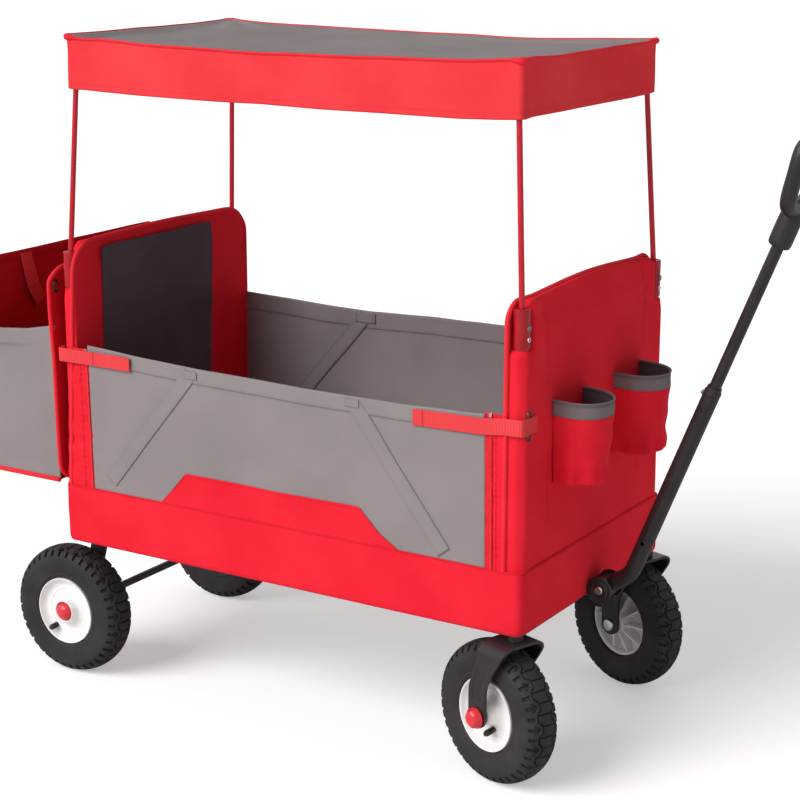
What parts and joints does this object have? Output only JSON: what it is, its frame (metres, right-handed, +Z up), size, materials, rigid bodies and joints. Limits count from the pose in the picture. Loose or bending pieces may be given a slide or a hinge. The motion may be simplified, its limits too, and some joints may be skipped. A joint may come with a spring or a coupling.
{
  "type": "folding pull wagon",
  "caption": "Folding pull wagon with a canopy: soft-sided tub on a folding steel frame, swivelling front wheels, rear storage bag, cup holders and a telescoping handle.",
  "frame": {"origin": "middle of the outer box, on the ground under the wheels", "axes": "+X towards the pull handle, +Y towards the far side, +Z up"},
  "size_m": [1.257, 0.5108, 0.98],
  "materials": {
    "red_fabric": "woven polyester, matt",
    "grey_fabric": "woven polyester, matt",
    "charcoal_fabric": "padded woven polyester, matt",
    "red_metal": "red powder coat, satin",
    "black_metal": "black powder coat, satin",
    "black_plastic": "black moulded plastic",
    "grey_plastic": "dark grey moulded plastic",
    "white_plastic": "white moulded plastic",
    "red_plastic": "red moulded plastic, glossy",
    "rubber": "black rubber with a block tread",
    "steel": "zinc plated"
  },
  "bodies": {
    "rear_end": {"rear_wall_frame": "red_metal", "rear_cross_bar": "black_metal", "rear_wall_cover": "red_fabric", "rear_floor_pin": "steel", "rear_backrest_pad": "charcoal_fabric", "storage_bag": "red_fabric", "skirt": "red_fabric", "far_side_panel": "grey_fabric", "rear_axle": "black_metal", "near_axle_bracket": "black_metal", "far_axle_bracket": "black_metal", "near_axle_cap": "red_plastic", "far_axle_cap": "red_plastic"},
    "near_side": {"near_side_panel": "grey_fabric", "front_side_strap": "red_fabric", "rear_side_strap": "red_fabric"},
    "floor_rear": {"rear_floor_panel": "black_plastic", "rear_floor_mat": "charcoal_fabric", "floor_centre_pin": "steel"},
    "floor_front": {"front_floor_panel": "black_plastic", "front_floor_mat": "charcoal_fabric"},
    "front_end": {"front_wall_frame": "red_metal", "front_cross_bar": "black_metal", "front_wall_cover": "red_fabric", "front_floor_pin": "steel", "near_caster_sleeve": "black_metal", "far_caster_sleeve": "black_metal", "near_cup_holder": "red_fabric", "far_cup_holder": "red_fabric", "strap_buckle": "black_metal", "handle_bracket": "black_metal", "handle_pivot_bolt": "steel"},
    "near_caster": {"near_caster_fork": "black_metal", "near_caster_bolt": "steel", "near_caster_cap": "red_plastic"},
    "far_caster": {"far_caster_fork": "black_metal", "far_caster_bolt": "steel", "far_caster_cap": "red_plastic"},
    "near_rear_wheel": {"near_rear_tyre": "rubber", "near_rear_hub": "white_plastic"},
    "far_rear_wheel": {"far_rear_tyre": "rubber", "far_rear_hub": "white_plastic"},
    "near_front_wheel": {"near_front_tyre": "rubber", "near_front_hub": "white_plastic"},
    "far_front_wheel": {"far_front_tyre": "rubber", "far_front_hub": "white_plastic"},
    "handle": {"handle_lower_tube": "black_metal", "handle_collar": "black_plastic"},
    "handle_upper": {"handle_upper_tube": "black_metal", "handle_grip": "black_plastic"},
    "handle_button": {"handle_collar_button": "grey_plastic"},
    "near_rear_socket_button": {"near_rear_button": "grey_plastic"},
    "far_rear_socket_button": {"far_rear_button": "grey_plastic"},
    "near_front_socket_button": {"near_front_button": "grey_plastic"},
    "far_front_socket_button": {"far_front_button": "grey_plastic"},
    "canopy_rear": {"near_rear_pole": "red_metal", "far_rear_pole": "red_metal", "canopy_cover": "red_fabric"},
    "canopy_front": {"near_front_pole": "red_metal", "far_front_pole": "red_metal"}
  },
  "joints": [
    {"name": "fold", "type": "hinge", "parent": "rear_end", "child": "floor_rear", "pos_m": [-0.4252, -0.01085, 0.26836], "axis": [0, -1, 0], "range_deg": [0, 70], "deforming": ["skirt", "canopy_cover"]},
    {"name": "floor_centre", "type": "hinge", "parent": "floor_rear", "child": "floor_front", "pos_m": [-0.0732, -0.01085, 0.25586], "axis": [0, -1, 0], "range_deg": [-140, 0]},
    {"name": "front_fold", "type": "hinge", "parent": "floor_front", "child": "front_end", "pos_m": [0.2788, -0.01085, 0.26836], "axis": [0, -1, 0], "range_deg": [0, 70]},
    {"name": "side_drop", "type": "hinge", "parent": "rear_end", "child": "near_side", "pos_m": [-0.0732, -0.22935, 0.31156], "axis": [1, 0, 0], "range_deg": [0, 150]},
    {"name": "near_caster_swivel", "type": "hinge", "parent": "front_end", "child": "near_caster", "pos_m": [0.3063, -0.21435, 0.21256], "axis": [0, 0, 1], "continuous": true},
    {"name": "far_caster_swivel", "type": "hinge", "parent": "front_end", "child": "far_caster", "pos_m": [0.3063, 0.19265, 0.21256], "axis": [0, 0, 1], "continuous": true},
    {"name": "near_rear_wheel_spin", "type": "hinge", "parent": "rear_end", "child": "near_rear_wheel", "pos_m": [-0.4786, -0.20245, 0.10096], "axis": [0, 1, 0], "continuous": true},
    {"name": "far_rear_wheel_spin", "type": "hinge", "parent": "rear_end", "child": "far_rear_wheel", "pos_m": [-0.4786, 0.18075, 0.10096], "axis": [0, 1, 0], "continuous": true},
    {"name": "near_front_wheel_spin", "type": "hinge", "parent": "near_caster", "child": "near_front_wheel", "pos_m": [0.27461, -0.2035, 0.10096], "axis": [0.3239, 0.9461, 0], "continuous": true},
    {"name": "far_front_wheel_spin", "type": "hinge", "parent": "far_caster", "child": "far_front_wheel", "pos_m": [0.27461, 0.2035, 0.10096], "axis": [0.3239, 0.9461, 0], "continuous": true},
    {"name": "handle_tilt", "type": "hinge", "parent": "front_end", "child": "handle", "pos_m": [0.3378, -0.01085, 0.23236], "axis": [0, 1, 0], "range_deg": [-24, 75]},
    {"name": "handle_slide", "type": "slide", "parent": "handle", "child": "handle_upper", "axis": [0.3697, 0, 0.9291], "range_m": [-0.212, 0]},
    {"name": "handle_button_press", "type": "slide", "parent": "handle", "child": "handle_button", "axis": [0.9291, 0, -0.3697], "range_m": [0, 0.0013], "stiffness_N_per_m": 300},
    {"name": "near_rear_socket_button_press", "type": "slide", "parent": "rear_end", "child": "near_rear_socket_button", "axis": [1, 0, 0], "range_m": [0, 0.002], "stiffness_N_per_m": 300},
    {"name": "far_rear_socket_button_press", "type": "slide", "parent": "rear_end", "child": "far_rear_socket_button", "axis": [1, 0, 0], "range_m": [0, 0.002], "stiffness_N_per_m": 300},
    {"name": "near_front_socket_button_press", "type": "slide", "parent": "front_end", "child": "near_front_socket_button", "axis": [-1, 0, 0], "range_m": [0, 0.002], "stiffness_N_per_m": 300},
    {"name": "far_front_socket_button_press", "type": "slide", "parent": "front_end", "child": "far_front_socket_button", "axis": [-1, 0, 0], "range_m": [0, 0.002], "stiffness_N_per_m": 300},
    {"name": "canopy_rear_lift", "type": "slide", "parent": "rear_end", "child": "canopy_rear", "axis": [0, 0, 1], "range_m": [0, 0.05]},
    {"name": "canopy_front_lift", "type": "slide", "parent": "front_end", "child": "canopy_front", "axis": [0, 0, 1], "range_m": [0, 0.05]}
  ],
  "couplings": [
    {"joint": "floor_centre", "follows": "fold", "ratio": -2},
    {"joint": "front_fold", "follows": "fold", "ratio": 1},
    {"joint": "canopy_front_lift", "follows": "canopy_rear_lift", "ratio": 1}
  ]
}
